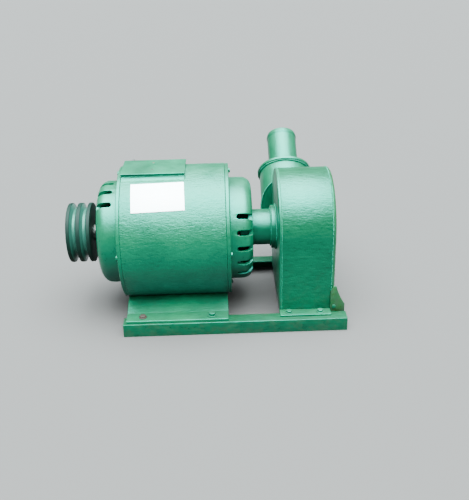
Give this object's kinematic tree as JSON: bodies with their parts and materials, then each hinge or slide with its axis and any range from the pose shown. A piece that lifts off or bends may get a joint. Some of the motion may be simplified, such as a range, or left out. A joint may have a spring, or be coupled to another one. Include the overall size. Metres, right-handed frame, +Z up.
{
  "type": "pelton turbine generator",
  "caption": "Small water turbine and generator on a welded angle-iron base, with a belt pulley on one end of the shaft and a sloping hose inlet at the back.",
  "frame": {"origin": "middle of the machine's length and depth, at the level of the ground under the base rails", "axes": "+X along the shaft from the belt pulley to the turbine, +Y towards the back where the water comes in, +Z up"},
  "size_m": [0.5106, 0.3894, 0.2818],
  "materials": {
    "green_enamel": "brushed-on gloss enamel, dusty",
    "dark_green_enamel": "worn enamel with bright belt tracks",
    "white_enamel": "gloss, blank",
    "bright_steel": "machined",
    "laminated_iron": "dull, varnished",
    "varnished_copper": "varnished winding wire",
    "bronze": "as cast, wet",
    "black_rubber": "matt"
  },
  "bodies": {
    "frame": {"front_base_rail": "green_enamel", "rear_base_rail": "green_enamel", "left_cross_member": "green_enamel", "right_cross_member": "green_enamel", "generator_shell": "green_enamel", "stator_core": "laminated_iron", "left_winding": "varnished_copper", "right_winding": "varnished_copper", "left_end_bell": "green_enamel", "right_end_bell": "green_enamel", "left_bearing": "bright_steel", "right_bearing": "bright_steel", "left_bearing_cap": "green_enamel", "front_foot": "green_enamel", "rear_foot": "green_enamel", "terminal_box": "green_enamel", "terminal_lid": "green_enamel", "cable_grommet": "black_rubber", "nameplate": "white_enamel", "casing_left_plate": "green_enamel", "casing_wrap": "green_enamel", "casing_cover": "green_enamel", "casing_front_foot": "green_enamel", "casing_rear_foot": "green_enamel", "front_corner_bracket": "green_enamel", "rear_corner_bracket": "green_enamel", "shaft_guard_tube": "green_enamel", "guard_tube_flange": "green_enamel", "inlet_pipe": "green_enamel", "inlet_flange": "green_enamel", "hose_spigot": "green_enamel", "nozzle": "bronze"},
    "rotor": {"shaft": "bright_steel", "rotor_core": "laminated_iron", "pulley": "dark_green_enamel", "cooling_fan": "laminated_iron", "pelton_runner": "bronze", "runner_nut": "bright_steel"}
  },
  "joints": [
    {"name": "rotor_spin", "type": "hinge", "parent": "frame", "child": "rotor", "pos_m": [0.05025, -0.06341, 0.1544], "axis": [1, 0, 0], "continuous": true}
  ]
}
